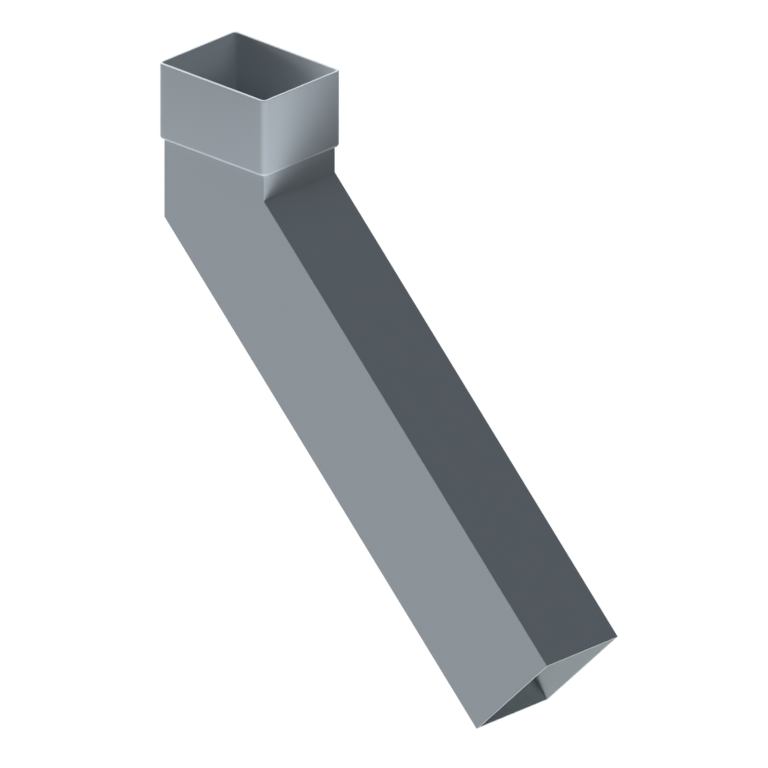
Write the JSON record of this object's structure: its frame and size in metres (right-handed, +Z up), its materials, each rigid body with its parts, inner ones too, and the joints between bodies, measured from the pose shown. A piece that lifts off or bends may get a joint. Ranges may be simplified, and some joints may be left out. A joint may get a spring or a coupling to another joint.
{
  "type": "downspout elbow",
  "caption": "Rectangular downspout elbow: a stepped socket over a short neck, a mitred bend, and a long sloping leg with a square-cut open end.",
  "frame": {"origin": "centre of the socket's mouth, in the plane of its rim", "axes": "+Z up out of the mouth along the downpipe, +X towards the side that the leg slopes down to, +Y across the pipe's shorter side"},
  "size_m": [0.3934, 0.083, 0.4423],
  "materials": {
    "grey_coat": "satin"
  },
  "bodies": {
    "root": {"elbow_body": "grey_coat"}
  },
  "joints": []
}
